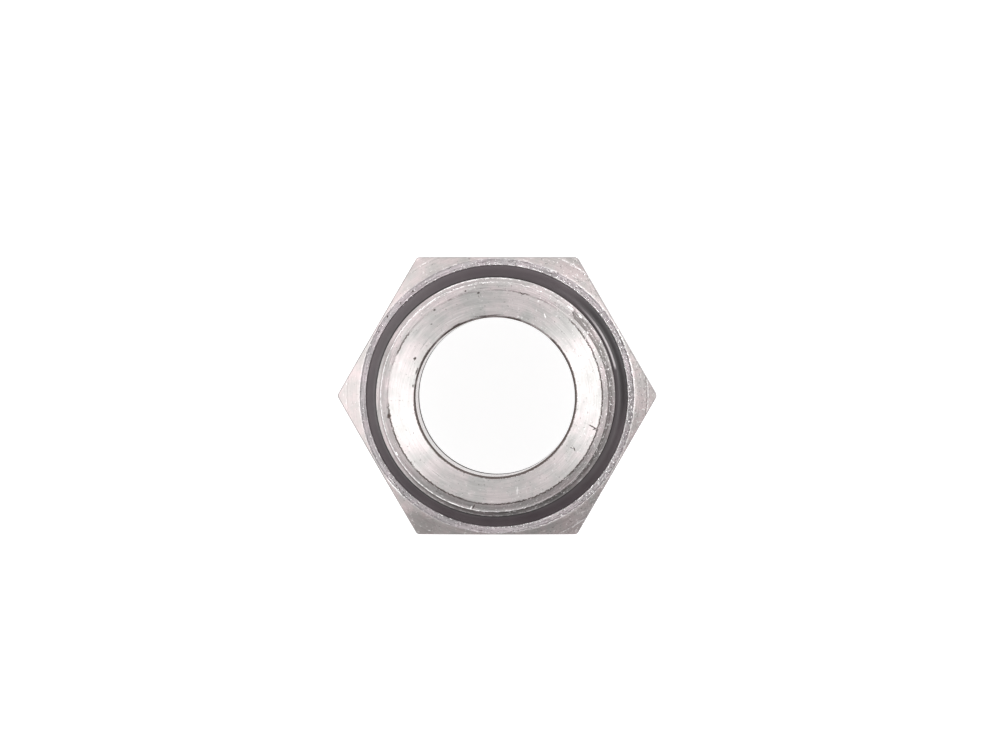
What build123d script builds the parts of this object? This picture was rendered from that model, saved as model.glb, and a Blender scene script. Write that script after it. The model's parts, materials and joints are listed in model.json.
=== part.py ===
# Straight adapter fitting with a face seal, in millimetres.
#
# One turned hexagon body and one rubber ring.  The body stands on its back face
# at z = 0, with its axis on Z.  Going up it has the hexagon, a thin rim round
# the seal groove, and the male stud.  A plain flow bore runs down the stud and
# opens into the larger female port that is cut from the back face.  The rubber
# ring lies in the face groove, round the stud's relief, and stands proud of the
# rim, so that the face of a port squeezes it when the stud is screwed home.
# The stud's tip is a short pilot, under the thread's crest, that finds the port.
#
# Both threads are plain walls: the stud at its crest diameter, and the port at
# its drilled diameter.

from build123d import *
from math import cos, radians, tan
import os

# ---- driving dimensions -------------------------------------------------

# Male stud, above the rim
stud_length = 11.0
stud_diameter = 18.95
stud_relief_depth = 1.0  # from the thread's crest in to the relief
stud_relief_height = 1.2  # plain relief above the rim, under the run-out
stud_pilot_depth = 0.4  # from the thread's crest in to the pilot
stud_pilot_length = 1.5  # plain pilot at the tip, its chamfer included
stud_tip_chamfer = 0.6  # 45 degrees, ends just under the root of the thread

# Rubber ring, and the room for it in the face groove
ring_section = 1.78
ring_proud = 0.4  # how far the ring stands above the rim
ring_inner_clearance = 0.17
ring_outer_clearance = 0.03  # the ring bears out against the rim
ring_floor_clearance = 0.03

# Hexagon
hex_length = 18.0
rim_width = 0.655  # thinnest part of the rim, at the middle of a flat
land_inset = 0.1  # from the flats in to the circle where the corner cones start
land_edge_break = 0.08  # broken edge of the rim, at the groove
hex_corner_radius = 0.35
corner_cone_angle = 30.0  # from the end face

# Flow bore
bore_diameter = 12.6
bore_edge_break = 0.15

# Female port
port_drill_diameter = 15.25
port_depth = 13.2  # of the drilled wall, from the back face
port_drill_point = 118.0  # included angle
port_mouth_break = 0.9  # radial width of the countersink
port_mouth_angle = 90.0  # included angle

# ---- sizes that follow --------------------------------------------------

tip_height = hex_length + stud_length
stud_radius = stud_diameter / 2
relief_radius = stud_radius - stud_relief_depth
pilot_radius = stud_radius - stud_pilot_depth
pilot_height = tip_height - stud_pilot_length
thread_low = hex_length + stud_relief_height + stud_relief_depth  # 45 degree run-out
thread_high = pilot_height - stud_pilot_depth  # 45 degree shoulder

ring_inner_radius = relief_radius + ring_inner_clearance
ring_centre_radius = ring_inner_radius + ring_section / 2
ring_centre_height = hex_length + ring_proud - ring_section / 2
groove_radius = ring_inner_radius + ring_section + ring_outer_clearance
groove_floor_height = ring_centre_height - ring_section / 2 - ring_floor_clearance

flat_radius = groove_radius + rim_width  # from the axis to each flat
corner_radius = flat_radius / cos(radians(30))  # from the axis to a sharp corner
land_radius = flat_radius - land_inset
cone_drop = (corner_radius - land_radius) * tan(radians(corner_cone_angle))

port_drill_radius = port_drill_diameter / 2
port_point_height = port_drill_radius / tan(radians(port_drill_point / 2))

# ---- fitting body -------------------------------------------------------

with BuildPart() as fitting_body:
    # Hexagon bar with soft corners, two of its flats square to Y
    with BuildSketch(Plane.XY):
        RegularPolygon(flat_radius, 6, major_radius=False)
        fillet(vertices(), hex_corner_radius)
    extrude(amount=hex_length)

    # The corners are turned off at both ends, to cones that start at the lands
    with BuildSketch(Plane.XZ):
        Polygon(
            (0, 0),
            (land_radius, 0),
            (corner_radius, cone_drop),
            (corner_radius, hex_length - cone_drop),
            (land_radius, hex_length),
            (0, hex_length),
            align=None,
        )
    revolve(axis=Axis.Z, mode=Mode.INTERSECT)

    # Face groove, with the rim's edge broken
    with BuildSketch(Plane.XZ):
        Polygon(
            (relief_radius, groove_floor_height),
            (groove_radius, groove_floor_height),
            (groove_radius, hex_length - land_edge_break),
            (groove_radius + land_edge_break, hex_length),
            (relief_radius, hex_length),
            align=None,
        )
    revolve(axis=Axis.Z, mode=Mode.SUBTRACT)

    # Stud: relief, run-out, thread crest, shoulder, pilot and tip chamfer
    with BuildSketch(Plane.XZ):
        Polygon(
            (0, groove_floor_height),
            (relief_radius, groove_floor_height),
            (relief_radius, hex_length + stud_relief_height),
            (stud_radius, thread_low),
            (stud_radius, thread_high),
            (pilot_radius, pilot_height),
            (pilot_radius, tip_height - stud_tip_chamfer),
            (pilot_radius - stud_tip_chamfer, tip_height),
            (0, tip_height),
            align=None,
        )
    revolve(axis=Axis.Z)

    # Flow bore, down the whole body
    with Locations((0, 0, tip_height)):
        Hole(radius=bore_diameter / 2)
    tip_face = fitting_body.faces().filter_by(Axis.Z).sort_by(Axis.Z)[-1]
    chamfer(tip_face.inner_wires().edges(), bore_edge_break)

    # Female port from the back face: countersunk mouth, drilled wall and the
    # drill's point, which leaves a cone down to the flow bore
    with Locations(Location((0, 0, 0), (180, 0, 0))):
        CounterSinkHole(
            radius=port_drill_radius,
            counter_sink_radius=port_drill_radius + port_mouth_break,
            depth=port_depth,
            counter_sink_angle=port_mouth_angle,
        )
    with Locations((0, 0, port_depth)):
        Cone(
            bottom_radius=port_drill_radius,
            top_radius=0,
            height=port_point_height,
            align=(Align.CENTER, Align.CENTER, Align.MIN),
            mode=Mode.SUBTRACT,
        )

# ---- seal ring ----------------------------------------------------------

with BuildPart() as seal_ring:
    with Locations((0, 0, ring_centre_height)):
        Torus(major_radius=ring_centre_radius, minor_radius=ring_section / 2)

# ---- files --------------------------------------------------------------

fitting_body.part.label = "fitting_body"
seal_ring.part.label = "seal_ring"

os.makedirs("parts", exist_ok=True)
export_step(fitting_body.part, "parts/fitting_body.step")
export_step(seal_ring.part, "parts/seal_ring.step")

print(f"across flats {2 * flat_radius:.2f}, height {tip_height:.2f}")
print(f"groove {2 * groove_radius:.2f} outside, {hex_length - groove_floor_height:.2f} deep")
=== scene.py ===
import json
import math
from functools import partial
import bmesh
import bpy
from mathutils import Matrix, Vector, noise


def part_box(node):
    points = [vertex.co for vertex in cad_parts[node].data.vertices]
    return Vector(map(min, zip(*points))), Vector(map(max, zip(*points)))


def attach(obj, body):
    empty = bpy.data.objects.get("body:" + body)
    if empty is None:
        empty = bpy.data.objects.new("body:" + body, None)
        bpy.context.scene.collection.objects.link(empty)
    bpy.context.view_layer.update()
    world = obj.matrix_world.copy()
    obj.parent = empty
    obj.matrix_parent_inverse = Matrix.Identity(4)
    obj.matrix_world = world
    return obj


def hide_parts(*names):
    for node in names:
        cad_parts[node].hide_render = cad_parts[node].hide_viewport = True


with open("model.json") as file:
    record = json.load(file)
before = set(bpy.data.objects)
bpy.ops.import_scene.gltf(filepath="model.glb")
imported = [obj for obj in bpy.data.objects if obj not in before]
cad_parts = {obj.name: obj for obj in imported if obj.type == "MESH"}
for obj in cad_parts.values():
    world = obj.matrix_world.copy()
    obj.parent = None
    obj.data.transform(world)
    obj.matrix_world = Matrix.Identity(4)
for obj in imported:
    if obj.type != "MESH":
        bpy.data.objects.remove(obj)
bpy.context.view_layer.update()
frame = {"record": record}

mm = 0.001
mounts = {mount["name"]: mount for mount in frame["record"]["mounts"]}
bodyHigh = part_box("fitting_body")[1]
ringLow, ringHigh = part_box("seal_ring")

# The columns that every turned wall of the body shares, so that the walls meet point to point
columns = {
    "count": 360,
    "crowding": 0.09,  # draws the columns together at the hexagon's corners
    "weld": 0.0008 * mm,
}


def columnAngle(index):
    angle = 2 * math.pi * index / columns["count"]
    return angle - columns["crowding"] * math.sin(6 * angle)


# Node helpers, for shader trees and geometry trees alike

def feed(tree, value, socket):
    if isinstance(value, bpy.types.NodeSocket):
        tree.links.new(value, socket)
    else:
        socket.default_value = value


def calc(tree, operation, *values):
    node = tree.nodes.new("ShaderNodeMath")
    node.operation = operation
    for value, socket in zip(values, node.inputs):
        feed(tree, value, socket)
    return node.outputs[0]


def ramp(tree, value, low, high, toLow=0.0, toHigh=1.0):
    node = tree.nodes.new("ShaderNodeMapRange")
    node.interpolation_type = "SMOOTHSTEP"
    feed(tree, value, node.inputs["Value"])
    feed(tree, low, node.inputs["From Min"])
    feed(tree, high, node.inputs["From Max"])
    feed(tree, toLow, node.inputs["To Min"])
    feed(tree, toHigh, node.inputs["To Max"])
    return node.outputs["Result"]


# Threads: one strip wound along the helix, a pitch wide, welded to itself

studThread = {
    "Columns": columns["count"],
    "Rows": 16,
    "Crowding": columns["crowding"],
    "Start column": 49,
    "Lead": 1.0,  # turns of plain wall before the groove starts
    "Turns": 7.4,
    "Start length": 0.012,  # turns in which the groove reaches its depth
    "Shaved until": 0.70,  # turns from the start, where the first ridge begins to rise to the full crest
    "Full from": 0.84,
    "Way": -1.0,  # down from the tip
    "Side": 1.0,  # cut into the outside
    "Base height": bodyHigh.z,
    "Wall length": 9.8 * mm,
    "Crest radius": mounts["male_stud"]["dims"]["r_mm"] * mm,
    "Pitch": 25.4 / 16 * mm,
    "Start depth": 0.69 * mm,  # of the groove's middle, where it starts
    "Root depth": 0.974 * mm,
    "Crest flat": 0.0625,  # half widths, in pitches
    "Root flat": 0.125,
    "Tip cone": 1.0 * mm,
    "Far cone": 1.0 * mm,
    "Pilot depth": 0.34 * mm,
    "Pilot bevel": 0.9 * mm,
    "Pilot bevel slope": 0.36,
    "Fade length": 0.01 * mm,  # over which the groove runs out at the wall's far end
}
portThread = {
    "Columns": columns["count"],
    "Rows": 8,
    "Crowding": columns["crowding"],
    "Start column": 200,
    "Lead": 0.0,
    "Turns": 11.1,
    "Start length": 0.012,
    "Shaved until": 0.70,
    "Full from": 0.84,
    "Way": 1.0,  # up from the mouth
    "Side": -1.0,  # cut into the inside
    "Base height": 0.0,
    "Wall length": 13.2 * mm,
    "Crest radius": mounts["female_port"]["dims"]["r_mm"] * mm,
    "Pitch": 25.4 / 19 * mm,
    "Start depth": -0.74 * mm,
    "Root depth": 0.68 * mm,
    "Crest flat": 0.125,
    "Root flat": 0.125,
    "Tip cone": 0.9 * mm,
    "Far cone": 0.0,
    "Pilot depth": 0.0,
    "Pilot bevel": 0.0,
    "Pilot bevel slope": 0.0,
    "Fade length": 2.0 * mm,
}
wholeInputs = ("Columns", "Rows", "Start column")
flankSlope = math.sqrt(3)  # of a 60 degree thread, and near enough for the port's 55 degrees


def threadTree():
    tree = bpy.data.node_groups.new("threadWall", "GeometryNodeTree")
    tree.interface.new_socket("Geometry", in_out="OUTPUT", socket_type="NodeSocketGeometry")
    for name in studThread:
        kind = "NodeSocketInt" if name in wholeInputs else "NodeSocketFloat"
        tree.interface.new_socket(name, in_out="INPUT", socket_type=kind)
    tree.interface.new_socket("Material", in_out="INPUT", socket_type="NodeSocketMaterial")
    given = tree.nodes.new("NodeGroupInput").outputs
    c = partial(calc, tree)

    # The strip: one row of points for each column that it passes
    points = c("ADD", given["Rows"], 1)
    steps = c("CEIL", c("MULTIPLY", c("ADD", given["Lead"], given["Turns"]), given["Columns"]))
    grid = tree.nodes.new("GeometryNodeMeshGrid")
    feed(tree, steps, grid.inputs["Vertices X"])
    feed(tree, points, grid.inputs["Vertices Y"])
    index = tree.nodes.new("GeometryNodeInputIndex").outputs[0]
    step = c("FLOOR", c("DIVIDE", c("ADD", index, 0.5), points))
    row = c("SUBTRACT", index, c("MULTIPLY", step, points))
    across = c("SUBTRACT", c("DIVIDE", row, given["Rows"]), 0.5)  # in pitches, from the groove's middle

    # Angle of the column, and the turns since the groove's start
    turnStep = c("SUBTRACT", step, c("MULTIPLY", given["Lead"], given["Columns"]))
    column = c("ADD", given["Start column"], c("MULTIPLY", turnStep, given["Way"]))
    even = c("MULTIPLY", c("DIVIDE", column, given["Columns"]), 2 * math.pi)
    shift = c("MULTIPLY", c("SINE", c("MULTIPLY", even, 6)), given["Crowding"])
    angle = c("SUBTRACT", even, shift)
    slip = c("MULTIPLY", c("DIVIDE", shift, 2 * math.pi), given["Way"])
    turn = c("SUBTRACT", c("DIVIDE", turnStep, given["Columns"]), slip)

    # Distance down the wall, held between its two ends
    travel = c("ADD", given["Start depth"], c("MULTIPLY", given["Pitch"], c("ADD", turn, across)))
    down = c("MINIMUM", c("MAXIMUM", travel, 0), given["Wall length"])
    left = c("SUBTRACT", given["Wall length"], down)

    # Depth of the cut below the crest: a V with a rounded root
    off = c("ABSOLUTE", across)
    flank = c("SUBTRACT", c("SUBTRACT", 0.5, given["Crest flat"]), off)
    vee = c("MULTIPLY", c("MULTIPLY", flank, given["Pitch"]), flankSlope)
    rootReach = c("SUBTRACT", c("SUBTRACT", 0.5, given["Crest flat"]), given["Root flat"])
    rootFoot = c("MULTIPLY", c("MULTIPLY", rootReach, given["Pitch"]), flankSlope)
    rootStep = c("SUBTRACT", given["Root depth"], rootFoot)
    near = c("DIVIDE", c("MINIMUM", off, given["Root flat"]), given["Root flat"])
    root = c("SUBTRACT", given["Root depth"], c("MULTIPLY", rootStep, c("MULTIPLY", near, near)))
    started = ramp(tree, turn, 0.0, given["Start length"])
    faded = ramp(tree, left, 0.0, given["Fade length"])
    groove = c("MULTIPLY", c("MULTIPLY", c("MINIMUM", vee, root), started), faded)

    # The first ridge is shaved to the pilot, until it runs into the full crest
    before = c("LESS_THAN", turn, 0)
    ridgeTurn = c("ADD", turn, before)
    tipSide = c("MULTIPLY", c("LESS_THAN", across, 0), c("LESS_THAN", turn, 1))
    shaving = ramp(tree, ridgeTurn, given["Shaved until"], given["Full from"], 1.0, 0.0)
    shaved = c("MULTIPLY", c("MAXIMUM", before, tipSide), shaving)
    bevelLeft = c("MAXIMUM", c("SUBTRACT", given["Pilot bevel"], down), 0)
    bevel = c("MULTIPLY", bevelLeft, given["Pilot bevel slope"])
    pilot = c("MULTIPLY", c("ADD", given["Pilot depth"], bevel), shaved)

    tipCone = c("SUBTRACT", given["Tip cone"], down)
    farCone = c("SUBTRACT", given["Far cone"], left)
    plain = c("MAXIMUM", pilot, c("MAXIMUM", c("MAXIMUM", tipCone, farCone), 0))
    depth = c("MAXIMUM", groove, plain)
    inGroove = c("MULTIPLY", c("GREATER_THAN", groove, plain), c("DIVIDE", groove, given["Root depth"]))
    radius = c("SUBTRACT", given["Crest radius"], c("MULTIPLY", given["Side"], depth))
    height = c("ADD", given["Base height"], c("MULTIPLY", given["Way"], down))

    place = tree.nodes.new("ShaderNodeCombineXYZ")
    feed(tree, c("MULTIPLY", radius, c("COSINE", angle)), place.inputs["X"])
    feed(tree, c("MULTIPLY", radius, c("SINE", angle)), place.inputs["Y"])
    feed(tree, height, place.inputs["Z"])
    setPosition = tree.nodes.new("GeometryNodeSetPosition")
    feed(tree, grid.outputs["Mesh"], setPosition.inputs["Geometry"])
    feed(tree, place.outputs[0], setPosition.inputs["Position"])
    keepDepth = tree.nodes.new("GeometryNodeStoreNamedAttribute")  # painted shade: kept so that the steel is painted darker down in the groove
    feed(tree, setPosition.outputs[0], keepDepth.inputs["Geometry"])
    feed(tree, "inGroove", keepDepth.inputs["Name"])
    feed(tree, inGroove, keepDepth.inputs["Value"])
    merge = tree.nodes.new("GeometryNodeMergeByDistance")
    feed(tree, keepDepth.outputs[0], merge.inputs["Geometry"])
    feed(tree, columns["weld"], merge.inputs["Distance"])
    realize = tree.nodes.new("GeometryNodeRealizeInstances")
    feed(tree, merge.outputs[0], realize.inputs["Geometry"])
    setMaterial = tree.nodes.new("GeometryNodeSetMaterial")
    feed(tree, realize.outputs[0], setMaterial.inputs["Geometry"])
    feed(tree, given["Material"], setMaterial.inputs["Material"])
    feed(tree, setMaterial.outputs[0], tree.nodes.new("NodeGroupOutput").inputs["Geometry"])
    return tree


def threadMesh(tree, sizes, material):
    holder = bpy.data.objects.new("threadHolder", bpy.data.meshes.new("threadHolder"))
    bpy.context.scene.collection.objects.link(holder)
    modifier = holder.modifiers.new("thread", "NODES")
    modifier.node_group = tree
    for socket in tree.interface.items_tree:
        if socket.in_out == "INPUT" and socket.name in sizes:
            modifier[socket.identifier] = sizes[socket.name]
        elif socket.in_out == "INPUT" and socket.name == "Material":
            modifier[socket.identifier] = material
    depsgraph = bpy.context.evaluated_depsgraph_get()
    mesh = bpy.data.meshes.new_from_object(holder.evaluated_get(depsgraph))
    bpy.data.objects.remove(holder)
    return mesh


# Fitting body: the turned walls between the two threads

ringClearance = 0.03 * mm
body = {
    "rim": ringHigh.z - 0.4 * mm,  # the ring stands proud of it
    "flatRadius": bodyHigh.y,
    "cornerRounding": 0.35 * mm,
    "landRadius": bodyHigh.y - 0.1 * mm,
    "landLip": (0.10 * mm, 0.004 * mm),  # width and height of the lip that turning leaves there
    "cornerConeSlope": math.tan(math.radians(30)),
    "reliefRadius": studThread["Crest radius"] - studThread["Far cone"],
    "threadFoot": bodyHigh.z - studThread["Wall length"],
    "grooveFloor": ringLow.z - ringClearance,
    "grooveRadius": ringHigh.x + ringClearance,
    "lipRounding": 0.06 * mm,
    "edgeBreak": 0.06 * mm,
    "portMouth": portThread["Crest radius"] + portThread["Tip cone"],
    "portRadius": portThread["Crest radius"],
    "portDepth": portThread["Wall length"],
    "drillPointSlope": 1 / math.tan(math.radians(59)),
    "boreRadius": mounts["flow_bore"]["dims"]["r_mm"] * mm,
    "boreBreak": 0.15 * mm,
    "tipRadius": studThread["Crest radius"] - studThread["Tip cone"],
    "tipEdgeWidth": 0.1 * mm,
    "burrHeight": 0.065 * mm,  # of the ragged edge between the tip's face and its chamfer
    "burrGrain": (1.7 / mm, 5.1 / mm),  # coarse and fine
    "burrDroop": 0.3,  # share of it that hangs down
    "sharpFrom": math.radians(28),
}
finishes = ("threadSteel", "facedSteel", "rimSteel", "coneSteel", "drawnSteel", "edgeSteel", "boredSteel")


def hexReach(angle):
    # From the axis to the hexagon's skin, with its soft corners
    off = (angle + math.pi / 6) % (math.pi / 3) - math.pi / 6
    rounding = body["cornerRounding"]
    centre = (body["flatRadius"] - rounding) / math.cos(math.pi / 6)
    bend = math.atan2(rounding * 0.5, centre + rounding * math.cos(math.pi / 6))
    if abs(off) < bend:
        return centre * math.cos(off) + math.sqrt(rounding**2 - (centre * math.sin(off)) ** 2)
    return body["flatRadius"] / math.cos(math.pi / 6 - abs(off))


def stations(start, *legs):
    # (radius, height, finish) of each point from the start, with each leg split into even steps
    made = [(*start, None)]
    for steps, end, finish in legs:
        old = made[-1]
        for k in range(1, steps + 1):
            share = k / steps
            made.append((old[0] + (end[0] - old[0]) * share, old[1] + (end[1] - old[1]) * share, finish))
    return made


def outsideProfile(reach):
    relief, wall, land = body["reliefRadius"], body["grooveRadius"], body["landRadius"]
    floor, rim = body["grooveFloor"], body["rim"]
    edge, lip = body["edgeBreak"], body["lipRounding"]
    ridgeWidth, ridgeHeight = body["landLip"]
    slope = body["cornerConeSlope"]
    drop = (reach - land) * slope
    lipArc = []
    for part in range(1, 6):
        turn = math.radians(part * 18)
        end = (wall + lip * (1 - math.cos(turn)), rim - lip * (1 - math.sin(turn)))
        lipArc.append((1, end, "rimSteel"))
    return stations(
        (relief, body["threadFoot"]),
        (3, (relief, floor + edge), "threadSteel"),
        (1, (relief + edge, floor), "threadSteel"),
        (3, (wall - edge, floor), "threadSteel"),
        (1, (wall, floor + edge), "threadSteel"),
        (3, (wall, rim - lip), "threadSteel"),
        *lipArc,
        (4, (land - ridgeWidth, rim), "rimSteel"),
        (2, (land - ridgeWidth * 0.4, rim + ridgeHeight), "rimSteel"),
        (1, (land, rim), "rimSteel"),
        (5, (reach - edge, rim - drop + edge * slope), "coneSteel"),
        (1, (reach, rim - drop - edge), "edgeSteel"),
        (6, (reach, drop + edge), "drawnSteel"),
        (1, (reach - edge, drop - edge * slope), "edgeSteel"),
        (3, (land, 0.0), "coneSteel"),
        (4, (body["portMouth"], 0.0), "facedSteel"),
    )


def insideProfile():
    port, bore, tip = body["portRadius"], body["boreRadius"], body["tipRadius"]
    drillPoint = (port - bore) * body["drillPointSlope"]
    return stations(
        (port, body["portDepth"]),
        (3, (bore, body["portDepth"] + drillPoint), "boredSteel"),
        (6, (bore, bodyHigh.z - body["boreBreak"]), "boredSteel"),
        (2, (bore + body["boreBreak"], bodyHigh.z), "boredSteel"),
        (12, (tip - body["tipEdgeWidth"], bodyHigh.z), "facedSteel"),
        (1, (tip, bodyHigh.z), "facedSteel"),
    )


def addWall(mesh, profileAt):
    # A column of points at each angle, and faces from each column to the next
    made = []
    for index in range(columns["count"]):
        angle = columnAngle(index)
        across, up = math.cos(angle), math.sin(angle)
        column = [(mesh.verts.new((r * across, r * up, z)), finish) for r, z, finish in profileAt(angle)]
        made.append(column)
    for index, column in enumerate(made):
        after = made[(index + 1) % len(made)]
        for k in range(len(column) - 1):
            face = mesh.faces.new((column[k][0], column[k + 1][0], after[k + 1][0], after[k][0]))
            face.material_index = finishes.index(column[k + 1][1])


def roughenEdge(mesh, radius, height, size):
    # A ragged burr along a turned edge: in and out, and a little down
    coarse, fine = body["burrGrain"]
    for vert in mesh.verts:
        reach = math.hypot(vert.co.x, vert.co.y)
        if abs(vert.co.z - height) < 0.01 * mm and abs(reach - radius) < 0.02 * mm:
            jump = noise.noise(vert.co * coarse) + 0.5 * noise.noise(vert.co * fine)
            vert.co.xy *= 1 + size * jump / reach
            vert.co.z -= size * body["burrDroop"] * abs(jump)


def newPiece(name, mesh, materials, sharpFrom):
    bmesh.ops.recalc_face_normals(mesh, faces=mesh.faces)
    for face in mesh.faces:
        face.smooth = True
    openEdges = sum(1 for edge in mesh.edges if len(edge.link_faces) != 2)
    triangles = sum(len(face.verts) - 2 for face in mesh.faces)
    volume = mesh.calc_volume() / mm**3
    print(f"{name}: {triangles} triangles, {openEdges} open edges, {volume:.0f} cubic mm")
    data = bpy.data.meshes.new(name)
    mesh.to_mesh(data)
    mesh.free()
    for material in materials:
        data.materials.append(material)
    data.set_sharp_from_angle(angle=sharpFrom)
    piece = bpy.data.objects.new(name, data)
    bpy.context.scene.collection.objects.link(piece)
    return piece


def makeFittingBody(steels):
    tree = threadTree()
    mesh = bmesh.new()
    for sizes, finish in ((studThread, "threadSteel"), (portThread, "boredSteel")):
        wall = threadMesh(tree, sizes, steels[finish])
        print(f"thread wall: {len(wall.polygons)} faces")
        start = len(mesh.faces)
        mesh.from_mesh(wall)
        mesh.faces.ensure_lookup_table()
        for face in mesh.faces[start:]:
            face.material_index = finishes.index(finish)
        bpy.data.meshes.remove(wall)
    addWall(mesh, lambda angle: outsideProfile(hexReach(angle)))
    addWall(mesh, lambda angle: insideProfile())
    bmesh.ops.remove_doubles(mesh, verts=mesh.verts, dist=columns["weld"])
    roughenEdge(mesh, body["tipRadius"], bodyHigh.z, body["burrHeight"])
    piece = newPiece("fittingBody", mesh, [steels[finish] for finish in finishes], body["sharpFrom"])
    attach(piece, "root")
    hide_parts("fitting_body")


# Seal ring

ring = {
    "section": (ringHigh.z - ringLow.z) / 2,
    "centreRadius": ringHigh.x - (ringHigh.z - ringLow.z) / 2,
    "centreHeight": (ringHigh.z + ringLow.z) / 2,
    "shoulderDrop": 0.02 * mm,  # its crown has settled outwards, and falls to this much under the rim
    "crownBend": 2.2,  # how late it falls
    "wallShare": 0.2,  # of the outer upper quarter's points that lie on the wall
    "squash": 0.027 * mm,  # how far that quarter is pressed out
    "aroundCount": 240,
    "sectionCount": 80,
    "flashHeight": 0.03 * mm,  # the mould's parting line, inside and outside
    "flashWidth": 0.06,  # radians each side
    "flashTaper": 8,  # how fast it ends away from the parting plane
    "sharpFrom": math.radians(35),
}


def ringPoint(bend):
    # Radius and height of a point of the section: round, but settled against the groove's outer wall
    share = bend / (math.pi / 2)  # 0 at the outermost point, 1 at the crown
    if share <= 1:
        top = ring["centreHeight"] + ring["section"]
        shoulder = body["rim"] - ring["shoulderDrop"]
        width = ring["section"] + ring["squash"]
        if share < ring["wallShare"]:
            rise = (shoulder - ring["centreHeight"]) * (share / ring["wallShare"])
            return ring["centreRadius"] + width, ring["centreHeight"] + rise
        out = (1 - share) / (1 - ring["wallShare"])
        return ring["centreRadius"] + width * out, top - (top - shoulder) * out ** ring["crownBend"]
    parting = min(abs(math.remainder(bend, math.pi)) / ring["flashWidth"], 1)
    reach = ring["section"] - ring["flashHeight"] * parting * abs(math.cos(bend)) ** ring["flashTaper"]
    return ring["centreRadius"] + reach * math.cos(bend), ring["centreHeight"] + reach * math.sin(bend)


def makeSealRing(rubber):
    mesh = bmesh.new()
    loops = []
    for i in range(ring["aroundCount"]):
        angle = 2 * math.pi * i / ring["aroundCount"]
        loop = []
        for j in range(ring["sectionCount"]):
            r, z = ringPoint(2 * math.pi * j / ring["sectionCount"])
            loop.append(mesh.verts.new((r * math.cos(angle), r * math.sin(angle), z)))
        loops.append(loop)
    for i, loop in enumerate(loops):
        after = loops[(i + 1) % len(loops)]
        for j in range(len(loop)):
            k = (j + 1) % len(loop)
            mesh.faces.new((loop[j], after[j], after[k], loop[k]))
    piece = newPiece("sealRing", mesh, [rubber], ring["sharpFrom"])
    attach(piece, "root")
    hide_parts("seal_ring")


# Materials

def newMaterial(name):
    material = bpy.data.materials.new(name)
    material.use_nodes = True
    tree = material.node_tree
    return material, tree, tree.nodes["Principled BSDF"]


def noiseAt(tree, vector, scale, detail=2.0, roughness=0.5):
    node = tree.nodes.new("ShaderNodeTexNoise")
    feed(tree, vector, node.inputs["Vector"])
    node.inputs["Scale"].default_value = scale
    node.inputs["Detail"].default_value = detail
    node.inputs["Roughness"].default_value = roughness
    return node.outputs["Fac"]


def mixColour(tree, amount, first, second, blend="MIX"):
    node = tree.nodes.new("ShaderNodeMix")
    node.data_type = "RGBA"
    node.blend_type = blend
    feed(tree, amount, node.inputs["Factor"])
    feed(tree, first, node.inputs["A"])
    feed(tree, second, node.inputs["B"])
    return node.outputs["Result"]


def addBump(tree, height, strength, depth, shader):
    node = tree.nodes.new("ShaderNodeBump")
    node.inputs["Strength"].default_value = strength
    node.inputs["Distance"].default_value = depth
    feed(tree, height, node.inputs["Height"])
    feed(tree, node.outputs["Normal"], shader.inputs["Normal"])


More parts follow.
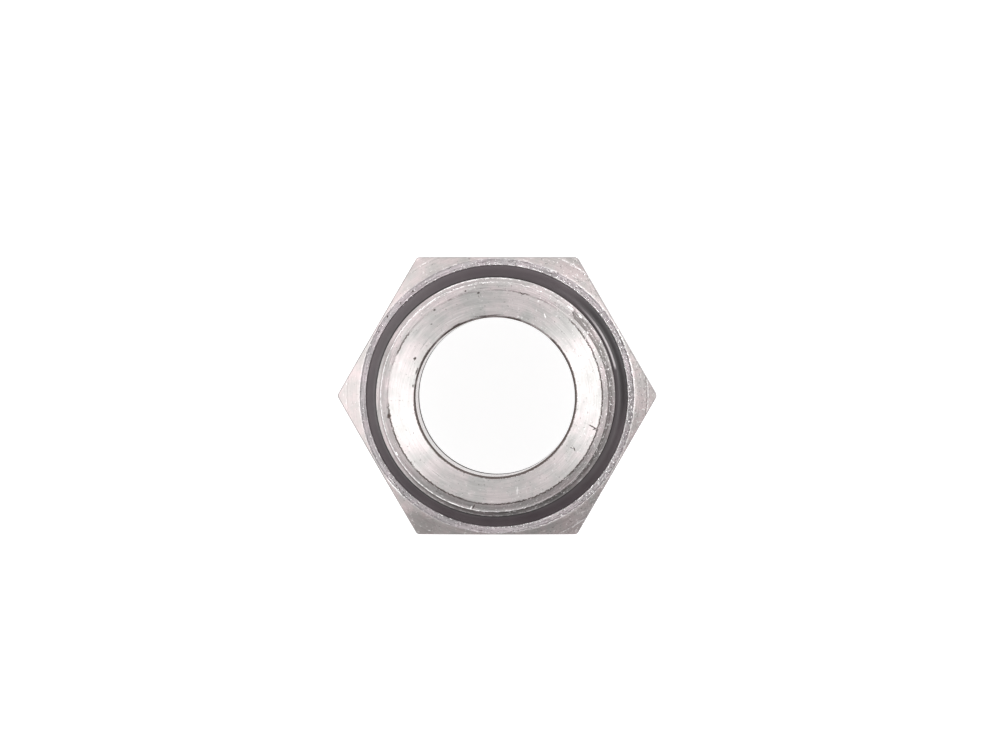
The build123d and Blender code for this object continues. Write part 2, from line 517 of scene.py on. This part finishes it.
plainLook = {
    "fine": 1.0,  # scale of the speckles
    "speckle": (0.66, 0.71),  # noise levels from which pits and chips show
    "oneSided": 0.0,  # how much more whole the bright rings are towards +X
    "linesLean": (-1.0, 0.6, 0.0, 0.0),  # two cosines round the axis, and how whole the rings are there
    "linesAbove": 0.0,  # height from which rings are drawn
    # Grime and shade lines are ragged dark rings: painted shade along edges, creases and in the bore, with
    # some grime. Painted highlights are ragged bright rings along edges. Both give radius, or height in the
    # bore, half width and strength
    "grimeAndShadeLines": (),
    "paintedHighlights": (),
}
steelLooks = {
    # tint is the warm cast, marks the fine lines of the cut, smudge the soft clouds of handling, and pits
    # and chips how plain the dark and the bright speckles are
    "threadSteel": dict(
        plainLook, colour=(0.41, 0.39, 0.385), tint=(0.45, 0.395, 0.40), roughness=0.36, anisotropy=0.5,
        marks=0.22, smudge=0.06, pits=0.6, chips=0.7, speckle=(0.64, 0.70), bump=0.7,
        oneSided=-0.07, linesLean=(-1.0, 0.6, -0.10, 0.07), linesAbove=27.5 * mm,
        # Painted shade in dark rings at the tip face's edge and beside the first groove, and painted
        # highlights at the chamfer's edge and along the crest
        grimeAndShadeLines=((8.50 * mm, 0.05 * mm, 0.95), (9.22 * mm, 0.13 * mm, 0.2)),
        paintedHighlights=((9.10 * mm, 0.05 * mm, 0.85), (9.42 * mm, 0.05 * mm, 0.9)),
    ),
    "facedSteel": dict(
        plainLook, colour=(0.60, 0.585, 0.575), tint=(0.635, 0.58, 0.58), roughness=0.40, anisotropy=0.8,
        marks=0.09, smudge=0.09, pits=0.55, chips=0.5, speckle=(0.65, 0.71), bump=0.3,
        linesLean=(-1.0, 0.6, -0.10, 0.07), linesAbove=14 * mm,
        # Painted shade in dark rings at the face's edges, by the chamfer and by the bore
        grimeAndShadeLines=((8.46 * mm, 0.06 * mm, 0.95), (6.46 * mm, 0.05 * mm, 0.85)),
    ),
    "rimSteel": dict(
        plainLook, colour=(0.46, 0.435, 0.445), tint=(0.50, 0.445, 0.465), roughness=0.38, anisotropy=0.3,
        marks=0.22, smudge=0.08, pits=0.55, chips=0.9, fine=1.25, speckle=(0.585, 0.655), bump=0.8,
        oneSided=0.08, linesLean=(-0.2, 0.9, -0.25, 0.10), linesAbove=14 * mm,
        # Painted shade in a dark ring on the land, and painted highlights along the lip and the land's
        # outer edge
        grimeAndShadeLines=((10.90 * mm, 0.05 * mm, 0.5),),
        paintedHighlights=((10.51 * mm, 0.08 * mm, 1.0), (11.0 * mm, 0.045 * mm, 0.6)),
    ),
    "coneSteel": dict(
        plainLook, colour=(0.55, 0.52, 0.51), tint=(0.61, 0.53, 0.53), roughness=0.40, anisotropy=0.3,
        marks=0.06, smudge=0.06, pits=0.5, chips=0.7, fine=1.2, speckle=(0.63, 0.69), bump=0.6,
        oneSided=0.08, linesLean=(0.5, 0.95, -0.30, 0.10), linesAbove=14 * mm,
        # A dark ring across the facets, and painted highlights at the land's edge and across the facets
        grimeAndShadeLines=((12.0 * mm, 0.05 * mm, 0.6),),
        paintedHighlights=((11.05 * mm, 0.04 * mm, 0.35), (12.1 * mm, 0.05 * mm, 0.8)),
    ),
    "drawnSteel": dict(
        plainLook, colour=(0.46, 0.44, 0.435), tint=(0.48, 0.448, 0.445), roughness=0.34, anisotropy=0.0,
        marks=0.09, smudge=0.035, pits=0.3, chips=0.2, bump=0.4,
    ),
    "edgeSteel": dict(
        plainLook, colour=(0.26, 0.24, 0.24), tint=(0.30, 0.26, 0.26), roughness=0.45, anisotropy=0.0,
        marks=0.15, smudge=0.1, pits=0.5, chips=0.5, bump=0.5,
    ),
    "boredSteel": dict(
        plainLook, colour=(0.68, 0.64, 0.63), tint=(0.74, 0.66, 0.66), roughness=0.22, anisotropy=0.4,
        marks=0.10, smudge=0.06, pits=0.3, chips=0.1, bump=0.4,
        linesLean=(-1.0, 0.6, 0.12, 0.12),
        # Painted shade: a dark line at the bore's top edge and a broad dark band low in the bore
        grimeAndShadeLines=((28.93 * mm, 0.22 * mm, 0.95), (15.0 * mm, 3.4 * mm, 1.0)),
    ),
}
toolPatterns = {
    # Details to a radian round the axis, details to a millimetre across, seed, octaves and roughness
    "marks": (4.0, 12.0, 0.0, 3.0, 0.6),
    "arcs": (2.5, 3.0, 0.0, 4.0, 0.6),
    "pits": (44.0, 6.0, 0.0, 2.0, 0.6),
    "chips": (46.0, 6.0, 31.0, 2.0, 0.6),
    "dots": (30.0, 2.0, 7.0, 4.0, 0.65),
}
spacePatterns = {
    # Scale, octaves and roughness
    "drawnMarks": (5.0 / mm, 4.0, 0.6),
    "drawnArcs": (1.1 / mm, 3.0, 0.6),
    "clouds": (0.45 / mm, 4.0, 0.6),
    "grain": (9.0 / mm, 2.0, 0.5),
    "wobble": (34.0, 5.0, 0.8),  # of a ring's edge, in details to a radian
    "patches": (3.2, 4.0, 0.6),  # where a ring is whole, in details to a radian
}
drawnStretch = 0.03  # drawing marks run along the bar
# Noise levels between which a ring becomes whole, and what is left of it where it is broken
lineBreaks = (0.36, 0.5, 0.25)
highlightBreaks = (0.46, 0.58, 0.1)
marksAndPaintedLight = {
    # x, y, z, half length, half width, turn in degrees, and how dark (below 0) or bright
    "facedSteel": (
        (-6.35, 3.05, 29, 0.19, 0.13, 60, -1.0),
        (-4.81, 6.89, 29, 0.15, 0.10, 10, -0.9),
        (-5.05, 5.78, 29, 0.11, 0.09, 0, -0.8),
        (-1.33, 8.24, 29, 0.16, 0.11, 20, -0.9),
        (-8.37, -1.50, 29, 0.26, 0.18, 80, -1.0),
        (7.72, -2.35, 29, 0.48, 0.065, -28, -1.0),
        (7.86, -2.52, 29, 0.24, 0.06, 30, -1.0),
        (7.98, -2.60, 29, 0.09, 0.07, 0, -1.0),
        (6.26, -4.10, 29, 0.26, 0.055, -70, -1.0),
        (6.05, -4.02, 29, 0.20, 0.045, -20, -0.9),
        (-6.42, -0.20, 29, 0.30, 0.05, 88, -0.6),
        (-6.50, 0.90, 29, 0.16, 0.08, 80, -0.8),
        (-3.05, 5.68, 29, 0.50, 0.09, 28, -1.0),
        (-0.60, 6.44, 29, 1.50, 0.07, 5, -0.8),
        (-6.20, 2.05, 29, 0.40, 0.08, 72, -0.9),
        (1.75, -7.42, 29, 0.48, 0.05, 86, 0.5),
        (3.94, 6.43, 29, 0.30, 0.05, 110, 0.9),
        (3.41, 7.60, 29, 0.09, 0.07, 0, 1.0),
        (1.83, 6.34, 29, 0.12, 0.05, 20, 0.9),
        (-3.2, 6.2, 29, 1.1, 0.05, 28, 0.4),
        (-4.3, 5.0, 29, 0.9, 0.04, 42, 0.4),
        (-5.6, 4.2, 29, 0.9, 0.05, 54, -0.25),
        (7.4, 0.9, 29, 0.9, 0.03, 97, -0.22),
        (5.6, -5.2, 29, 0.9, 0.03, 48, 0.35),
        (-4.6, -6.1, 29, 0.7, 0.04, -38, -0.35),
    ),
    "threadSteel": (
        (-8.42, -1.50, 28.9, 0.26, 0.18, 80, -1.0),
        (-2.36, 8.39, 28.9, 0.13, 0.09, 0, -0.9),
        # The next four darken the band beside the first groove on the stud's +X side: painted shade
        (7.27, 5.68, 28, 1.3, 0.17, 128, -0.42),
        (8.36, 3.90, 28, 1.3, 0.17, 115, -0.48),
        (9.05, 1.76, 28, 1.3, 0.17, 101, -0.42),
        (9.20, -0.48, 28, 1.1, 0.15, 87, -0.25),
        (-1.72, -8.70, 28.7, 0.30, 0.06, 62, -1.0),
        (-1.92, -8.78, 28.6, 0.26, 0.05, 62, 1.0),
        (-3.30, -8.45, 28.4, 0.50, 0.05, -20, 0.9),
        (-7.80, -4.50, 28.4, 0.22, 0.10, -58, 1.0),
        # From here the bright ones are painted glints on the burrs where the thread starts and along the
        # crest
        (5.95, 7.05, 28.2, 0.35, 0.09, -40, 1.0),
        (6.72, 6.42, 28.2, 0.30, 0.10, -46, 1.0),
        (6.22, 6.62, 28.4, 0.20, 0.08, -35, -1.0),
        (7.30, 5.10, 28.4, 0.14, 0.09, -55, 1.0),
        (8.95, 2.20, 28.0, 0.10, 0.07, -60, 0.9),
        (9.15, -0.60, 28.0, 0.10, 0.09, 0, 0.9),
    ),
    "rimSteel": (
        (-6.70, 8.40, 18, 0.12, 0.09, 40, -1.0),
        (-8.78, 6.33, 18, 0.13, 0.10, 50, -1.0),
        (-7.75, 7.40, 18, 0.11, 0.08, 45, -0.9),
        (4.38, 10.0, 18, 0.13, 0.10, 0, 1.0),
        (-8.05, -7.44, 18, 1.20, 0.08, -47.5, 1.0),
        (-8.38, -6.83, 18, 0.55, 0.06, -50, 0.9),
        (-7.95, -7.30, 18, 0.50, 0.05, -48, -0.8),
        (10.75, -0.90, 18, 0.14, 0.11, 90, 1.0),
    ),
    "coneSteel": (
        # The first, third and fourth are broad soft patches that lighten or darken much of a facet
        (6.9, -9.6, 17.5, 1.1, 0.8, 30, 0.12),
        (-8.07, -7.46, 18, 1.20, 0.08, -47.5, 1.0),
        (-6.2, -10.4, 17.5, 1.9, 1.5, -30, -0.22),
        (6.2, 10.4, 17.5, 1.5, 1.2, -30, -0.06),
        (11.7, -1.1, 17.5, 0.10, 0.08, 0, 0.9),
        (11.4, -2.1, 17.5, 0.30, 0.05, 20, 0.7),
    ),
}
markDepth = 1.5  # half the height of the space that a mark takes, in millimetres
steelGrimeAndShade = (0.08, 0.062, 0.057, 1)
steelBright = (0.95, 0.93, 0.93, 1)
grooveShade = 0.55
raggedness = 0.34 * mm
shadySide = 0.24  # painted shade: how much darker the stud's colour is on its -Y side


def pack(tree, *values):
    node = tree.nodes.new("ShaderNodeCombineXYZ")
    for value, socket in zip(values, node.inputs):
        feed(tree, value, socket)
    return node.outputs[0]


def swing(tree, value, amount):
    # 1, give or take the amount
    return ramp(tree, value, 0.3, 0.7, 1 - amount, 1 + amount)


def turnedPlace(tree):
    # A point's place, radius and height, and its spot on turned work: cosine, sine and millimetres across
    c = partial(calc, tree)
    place = tree.nodes.new("ShaderNodeTexCoord").outputs["Object"]
    split = tree.nodes.new("ShaderNodeSeparateXYZ")
    feed(tree, place, split.inputs[0])
    x, y, z = split.outputs
    radius = c("MAXIMUM", c("SQRT", c("ADD", c("MULTIPLY", x, x), c("MULTIPLY", y, y))), 1 * mm)
    across = c("MULTIPLY", c("SUBTRACT", radius, c("MULTIPLY", z, 0.7)), 1 / mm)
    return place, radius, z, (c("DIVIDE", x, radius), c("DIVIDE", y, radius), across)


def toolNoise(tree, spot, pattern, fine=1.0):
    # Noise that follows the tool round the axis
    c = partial(calc, tree)
    cosine, sine, across = spot
    round, over, seed, octaves, roughness = toolPatterns[pattern]
    turnX = c("ADD", c("MULTIPLY", cosine, round * fine), seed)
    turnY = c("MULTIPLY", sine, round * fine)
    unrolled = pack(tree, turnX, turnY, c("MULTIPLY", across, over * fine))
    return noiseAt(tree, unrolled, 1.0, octaves, roughness)


def drawnNoise(tree, place, pattern):
    stretch = tree.nodes.new("ShaderNodeMapping")
    feed(tree, place, stretch.inputs["Vector"])
    stretch.inputs["Scale"].default_value = (1, 1, drawnStretch)
    return noiseAt(tree, stretch.outputs[0], *spacePatterns[pattern])


def speckles(tree, spot, pattern, look, lean):
    # Dark pits or bright chips, with more of them towards +X
    level = toolNoise(tree, spot, pattern, look["fine"])
    level = calc(tree, "ADD", level, calc(tree, "MULTIPLY", spot[0], lean))
    return ramp(tree, level, *look["speckle"])


def raggedRings(tree, ragged, rings, breaks, broken, whole, least):
    c = partial(calc, tree)
    made = 0.0
    for middle, width, strength in rings:
        off = c("ABSOLUTE", c("SUBTRACT", ragged, middle))
        line = ramp(tree, off, width * 0.4, width, 1.0, 0.0)
        line = c("MULTIPLY", line, ramp(tree, breaks, broken, whole, least, 1.0))
        made = c("MAXIMUM", made, c("MULTIPLY", line, strength))
    return made


def ovalPatch(tree, place, grain, centre, reach, turn, strength):
    # Full inside a ball that is stretched to the mark's size, with a grainy edge
    fitted = tree.nodes.new("ShaderNodeMapping")
    fitted.vector_type = "TEXTURE"
    feed(tree, place, fitted.inputs["Vector"])
    fitted.inputs["Location"].default_value = [value * mm for value in centre]
    fitted.inputs["Rotation"].default_value = (0, 0, math.radians(turn))
    fitted.inputs["Scale"].default_value = [value * mm for value in reach]
    off = tree.nodes.new("ShaderNodeVectorMath")
    off.operation = "LENGTH"
    feed(tree, fitted.outputs[0], off.inputs[0])
    inside = calc(tree, "ADD", off.outputs["Value"], calc(tree, "SUBTRACT", grain, 0.5))
    return ramp(tree, inside, 0.5, 1.0, strength, 0.0)


def addTurnedGloss(tree, amount, shader):
    # Highlights stretched across the tool's marks
    tangent = tree.nodes.new("ShaderNodeTangent")
    tangent.direction_type = "RADIAL"
    tangent.axis = "Z"
    feed(tree, tangent.outputs[0], shader.inputs["Tangent"])
    shader.inputs["Anisotropic"].default_value = amount
    shader.inputs["Anisotropic Rotation"].default_value = 0.25


def makeSteel(name):
    look = steelLooks[name]
    material, tree, shader = newMaterial(name)
    c = partial(calc, tree)
    place, radius, z, spot = turnedPlace(tree)
    cosine, sine = spot[:2]
    if name == "drawnSteel":
        marks, arcs = drawnNoise(tree, place, "drawnMarks"), drawnNoise(tree, place, "drawnArcs")
    else:
        marks, arcs = toolNoise(tree, spot, "marks"), toolNoise(tree, spot, "arcs")
    cloud = noiseAt(tree, place, *spacePatterns["clouds"])
    grain = noiseAt(tree, place, *spacePatterns["grain"])

    tone = mixColour(tree, ramp(tree, cloud, 0.38, 0.62), (*look["colour"], 1), (*look["tint"], 1))
    broad = c("MULTIPLY", swing(tree, arcs, look["marks"] * 0.7), swing(tree, cloud, look["smudge"]))
    level = c("MULTIPLY", swing(tree, marks, look["marks"]), broad)
    # Painted shade on the stud's -Y side
    if name == "threadSteel":
        level = c("MULTIPLY", level, ramp(tree, sine, -0.9, -0.2, 1 - shadySide, 1.0))
    tone = mixColour(tree, 1.0, tone, pack(tree, level, level, level), "MULTIPLY")

    # Rings of painted shade with some grime, and rings of painted highlight, ragged at their edges and
    # broken along their way
    wobble = noiseAt(tree, pack(tree, cosine, sine, 0.0), *spacePatterns["wobble"])
    ringPlace = z if name == "boredSteel" else radius
    ragged = c("ADD", ringPlace, c("MULTIPLY", c("SUBTRACT", wobble, 0.5), raggedness))
    patchy = noiseAt(tree, pack(tree, cosine, sine, 4.0), *spacePatterns["patches"])
    patchy = c("ADD", patchy, ramp(tree, sine, 0.5, 0.85, 0.04, -0.16))  # less whole towards +Y
    patchy = c("ADD", patchy, ramp(tree, cosine, *look["linesLean"]))
    dotted = ramp(tree, cosine, -0.7, 0.9, -look["oneSided"], look["oneSided"])
    dotted = c("ADD", toolNoise(tree, spot, "dots"), dotted)
    high = ramp(tree, z, look["linesAbove"] - 1 * mm, look["linesAbove"])
    grimeAndShadeLines = c("MULTIPLY", raggedRings(tree, ragged, look["grimeAndShadeLines"], patchy, *lineBreaks), high)
    paintedHighlights = c("MULTIPLY", raggedRings(tree, ragged, look["paintedHighlights"], dotted, *highlightBreaks), high)

    # Grime in pits and dark marks, painted shade in the dark rings, down in a thread's groove and in some
    # dark marks, and bright steel in chips and bright marks, with painted highlights in the bright rings
    # and in the glints among the bright marks
    pits = speckles(tree, spot, "pits", look, max(look["oneSided"], 0) * 0.5)
    grimeAndShade = c("MAXIMUM", c("MULTIPLY", pits, look["pits"]), grimeAndShadeLines)
    # Painted shade: darker down in a thread's groove
    if name in ("threadSteel", "boredSteel"):
        depth = tree.nodes.new("ShaderNodeAttribute")
        depth.attribute_name = "inGroove"
        down = ramp(tree, depth.outputs["Fac"], 0.12, 0.36)
        grimeAndShade = c("MAXIMUM", grimeAndShade, c("MULTIPLY", down, grooveShade))
    chips = speckles(tree, spot, "chips", look, 0.03)
    chipped = c("MULTIPLY", ramp(tree, high, 0, 1, 0.35, 1.0), look["chips"])
    wornAndGlints = c("MAXIMUM", c("MULTIPLY", chips, chipped), paintedHighlights)
    for x, y, height, length, width, turn, strength in marksAndPaintedLight.get(name, ()):
        reach = (length, width, markDepth)
        mark = ovalPatch(tree, place, grain, (x, y, height), reach, turn, abs(strength))
        if strength < 0:
            grimeAndShade = c("MAXIMUM", grimeAndShade, mark)
        else:
            wornAndGlints = c("MAXIMUM", wornAndGlints, mark)
    tone = mixColour(tree, grimeAndShade, tone, steelGrimeAndShade)
    tone = mixColour(tree, wornAndGlints, tone, steelBright)
    feed(tree, tone, shader.inputs["Base Color"])

    rough = c("ADD", ramp(tree, marks, 0.3, 0.7, -0.05, 0.05), ramp(tree, grain, 0.3, 0.7, -0.03, 0.03))
    rough = c("ADD", rough, c("MULTIPLY", wornAndGlints, -0.12))
    feed(tree, c("ADD", rough, look["roughness"]), shader.inputs["Roughness"])
    relief = c("ADD", c("MULTIPLY", marks, 0.6), c("MULTIPLY", grain, 0.3))
    relief = c("ADD", c("SUBTRACT", relief, grimeAndShade), wornAndGlints)
    addBump(tree, relief, look["bump"], 0.02 * mm, shader)
    shader.inputs["Metallic"].default_value = 1.0
    if name == "boredSteel":
        # The bore is seen at a glancing angle, where only a dull coat looks dark, so its painted shade
        # rings, at its top edge and in a broad band low down, are made dull rather than metal
        shader.inputs["Specular IOR Level"].default_value = 0.0
        feed(tree, c("SUBTRACT", 1, grimeAndShadeLines), shader.inputs["Metallic"])
    if look["anisotropy"]:
        addTurnedGloss(tree, look["anisotropy"], shader)
    return material


blackRubber = {
    "colour": (0.063, 0.048, 0.054, 1),
    "bloom": (0.086, 0.069, 0.075, 1),
    "gapShade": (0.008, 0.006, 0.006, 1),  # painted shade in the gap close round the stud
    "gapShadeCentre": (-0.125 * mm, -0.072 * mm),
    "gapShadeUpTo": (9.60 * mm, 9.68 * mm),
    "sideShade": (0.026, 0.020, 0.022, 1),  # painted shade: darker on its +X side, outside the painted highlight arc
    "sideShadeFrom": (9.78 * mm, 9.95 * mm),
    "sideShadeArc": (20, 16, 38),  # degrees: its middle, and the half widths where it starts to fade and ends
    "glint": (0.66, 0.62, 0.63, 1),  # painted highlight: a pale arc on the ring next to the stud
    "glintRadius": 9.735 * mm,
    "glintHalfWidth": 0.095 * mm,
    "glintArc": (math.radians(12), math.radians(51)),
    "glintEnds": (0.05, 0.45),  # radians in which it fades out at its start and its end
    "cloudScale": 0.25 / mm,
    "grainScale": 12 / mm,
    "roughness": (0.33, 0.46),
    "bump": 0.25,
}


def makeBlackRubber():
    look = blackRubber
    material, tree, shader = newMaterial("blackRubber")
    c = partial(calc, tree)
    place = tree.nodes.new("ShaderNodeTexCoord").outputs["Object"]
    split = tree.nodes.new("ShaderNodeSeparateXYZ")
    feed(tree, place, split.inputs[0])
    x, y, z = split.outputs

    def distance(centreX, centreY):
        offX, offY = c("SUBTRACT", x, centreX), c("SUBTRACT", y, centreY)
        return c("SQRT", c("ADD", c("MULTIPLY", offX, offX), c("MULTIPLY", offY, offY)))

    cloud = noiseAt(tree, place, look["cloudScale"], 3.0)
    grain = noiseAt(tree, place, look["grainScale"], 3.0)
    tone = mixColour(tree, ramp(tree, cloud, 0.3, 0.7), look["colour"], look["bloom"])
    radius = distance(0, 0)
    # Painted shade in the gap between the stud and the ring, centred a little off the axis
    gapShade = ramp(tree, distance(*look["gapShadeCentre"]), *look["gapShadeUpTo"], 1.0, 0.0)
    tone = mixColour(tree, gapShade, tone, look["gapShade"])
    turn = c("ARCTAN2", y, x)
    # Painted shade on the ring's +X side, outside the highlight arc
    middle, whole, end = (math.radians(angle) for angle in look["sideShadeArc"])
    sideShade = ramp(tree, c("ABSOLUTE", c("SUBTRACT", turn, middle)), whole, end, 1.0, 0.0)
    sideShade = c("MULTIPLY", sideShade, ramp(tree, radius, *look["sideShadeFrom"]))
    tone = mixColour(tree, sideShade, tone, look["sideShade"])

    # A painted highlight: a pale arc on the ring beside the stud
    off = c("ABSOLUTE", c("SUBTRACT", radius, look["glintRadius"]))
    arc = ramp(tree, off, look["glintHalfWidth"] * 0.5, look["glintHalfWidth"], 1.0, 0.0)
    start, end = look["glintArc"]
    startFade, endFade = look["glintEnds"]
    arc = c("MULTIPLY", arc, ramp(tree, turn, start, start + startFade))
    arc = c("MULTIPLY", arc, ramp(tree, turn, end - endFade, end, 1.0, 0.0))
    tone = mixColour(tree, arc, tone, look["glint"])
    feed(tree, tone, shader.inputs["Base Color"])
    feed(tree, ramp(tree, grain, 0.3, 0.7, *look["roughness"]), shader.inputs["Roughness"])
    addBump(tree, grain, look["bump"], 0.01 * mm, shader)
    return material


# Studio

studio = {
    "floorHalf": 3.0,
    "floorColour": (0.35, 0.35, 0.35, 1),
    "floorGlow": 0.92,
    "worldLevel": 0.32,
    # More light from round the work: how much, towards which side, and how high it reaches
    "lifts": {
        "back": (0.63, (0.0, 1.0), 2.0),
        "left": (1.32, (-1.0, 0.08), 2.0),
        "lowRight": (2.8, (0.95, 0.31), 0.12),
        "lowBack": (1.0, (-0.2, 0.98), 0.12),
    },
    "topLift": (0.64, 0.8),
    "cameraDistance": 0.9,
    "cameraLean": (0.0125, 0.0072),  # towards +X and +Y, in radians
    "cameraAim": (0.245 * mm, 1.67 * mm),  # point of the rim's plane in the middle of the view
    "lens": 404.6,
    # Place, aim, sizes of both sides, and power
    "lamps": {
        "leftSoftbox": ((-0.50, 0.0, 0.98), (0, 0, 0.02), (0.7, 0.4), 3.0),
        "rightSoftbox": ((0.50, 0.05, 0.98), (0, 0, 0.02), (0.7, 0.35), 2.15),
        "rightStrip": ((0.56, 0.32, 0.90), (0, 0, 0.02), (0.35, 0.05), 2.0),
        "lowStrip": ((0.80, 0.37, 0.07), (0, 0, 0.025), (0.5, 0.08), 0.8),
    },
}


def addLamp(name, place, aim, size, power):
    lamp = bpy.data.lights.new(name, "AREA")
    lamp.shape = "RECTANGLE"
    lamp.size, lamp.size_y = size
    lamp.energy = power
    holder = bpy.data.objects.new(name, lamp)
    holder.location = place
    back = (Vector(place) - Vector(aim)).normalized()
    across = Vector((0, 0, 1)).cross(back).normalized()  # level, so that its second side is the upright one
    holder.rotation_euler = Matrix((across, back.cross(across), back)).transposed().to_euler()
    bpy.context.scene.collection.objects.link(holder)


def whiteToView(tree):
    # 1 for the rays that show the background, straight or by reflection
    path = tree.nodes.new("ShaderNodeLightPath")
    seen = calc(tree, "MAXIMUM", path.outputs["Is Camera Ray"], path.outputs["Is Glossy Ray"])
    return calc(tree, "MAXIMUM", seen, path.outputs["Is Transmission Ray"])


def makeFloor():
    half = studio["floorHalf"]
    data = bpy.data.meshes.new("floor")
    corners = [(-half, -half, 0), (half, -half, 0), (half, half, 0), (-half, half, 0)]
    data.from_pydata(corners, [], [(0, 1, 2, 3)])
    floor = bpy.data.objects.new("floor", data)
    bpy.context.scene.collection.objects.link(floor)
    material, tree, shader = newMaterial("paleFloor")
    shader.inputs["Base Color"].default_value = studio["floorColour"]
    shader.inputs["Roughness"].default_value = 0.9
    shader.inputs["Specular IOR Level"].default_value = 0.0
    shader.inputs["Emission Color"].default_value = (1, 1, 1, 1)
    glow = calc(tree, "MULTIPLY", whiteToView(tree), studio["floorGlow"])
    feed(tree, glow, shader.inputs["Emission Strength"])
    data.materials.append(material)


def makeWorld():
    world = bpy.data.worlds.new("studio")
    world.use_nodes = True
    bpy.context.scene.world = world
    tree = world.node_tree
    background = tree.nodes["Background"]
    background.inputs["Color"].default_value = (1, 1, 1, 1)
    split = tree.nodes.new("ShaderNodeSeparateXYZ")
    feed(tree, tree.nodes.new("ShaderNodeTexCoord").outputs["Generated"], split.inputs[0])
    x, y, z = split.outputs
    level = studio["worldLevel"]
    for lift, (sideX, sideY), reach in studio["lifts"].values():
        along = calc(tree, "ADD", calc(tree, "MULTIPLY", x, sideX), calc(tree, "MULTIPLY", y, sideY))
        below = ramp(tree, z, reach * 0.5, reach * 1.5, lift, 0.0)
        level = calc(tree, "ADD", level, calc(tree, "MULTIPLY", ramp(tree, along, 0.25, 1.0), below))
    lift, start = studio["topLift"]
    level = calc(tree, "ADD", level, ramp(tree, z, start, 1.0, 0.0, lift))
    feed(tree, level, background.inputs["Strength"])


def makeCamera():
    camera = bpy.data.objects.new("camera", bpy.data.cameras.new("camera"))
    aim = Vector((*studio["cameraAim"], body["rim"]))
    back = Vector((*studio["cameraLean"], 1)).normalized()
    right = Vector((0, 1, 0)).cross(back).normalized()
    camera.rotation_euler = Matrix((right, back.cross(right), back)).transposed().to_euler()
    camera.location = aim + back * studio["cameraDistance"]
    camera.data.lens = studio["lens"]
    camera.data.clip_start = 0.01
    camera.data.clip_end = 20
    bpy.context.scene.collection.objects.link(camera)
    bpy.context.scene.camera = camera


print("materials")
steels = {name: makeSteel(name) for name in finishes}
rubber = makeBlackRubber()
print("fitting body")
makeFittingBody(steels)
print("seal ring")
makeSealRing(rubber)
print("studio")
makeFloor()
makeWorld()
makeCamera()
for name, lamp in studio["lamps"].items():
    addLamp(name, *lamp)
bpy.context.scene.view_settings.view_transform = "Standard"
